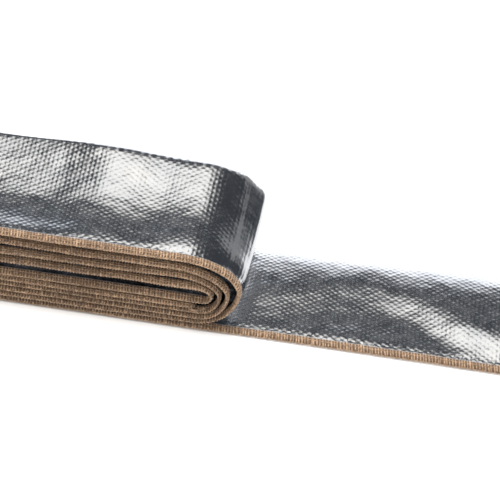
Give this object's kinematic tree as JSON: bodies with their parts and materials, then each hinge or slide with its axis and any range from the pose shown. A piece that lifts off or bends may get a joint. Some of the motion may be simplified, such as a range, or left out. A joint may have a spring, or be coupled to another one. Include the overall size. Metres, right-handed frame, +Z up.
{
  "type": "heat shield sleeve",
  "caption": "Flat coil of aluminised glass-cloth heat shield sleeve with an overlocked edge, its outer end unrolled as a flat tail.",
  "frame": {"origin": "middle of the whole length and width, on the floor under the coil and its tail", "axes": "+X along the sleeve from the coil towards the free end of the tail, -Y towards the sewn edge, +Y towards the folded edge, +Z up"},
  "size_m": [0.2834, 0.0532, 0.032],
  "materials": {
    "foil_cloth": "plain-weave glass cloth faced with bright aluminium foil",
    "sewing_thread": "tan overlock thread, matt"
  },
  "bodies": {
    "root": {"sleeve_cloth": "foil_cloth", "overlock_stitching": "sewing_thread"}
  },
  "joints": []
}
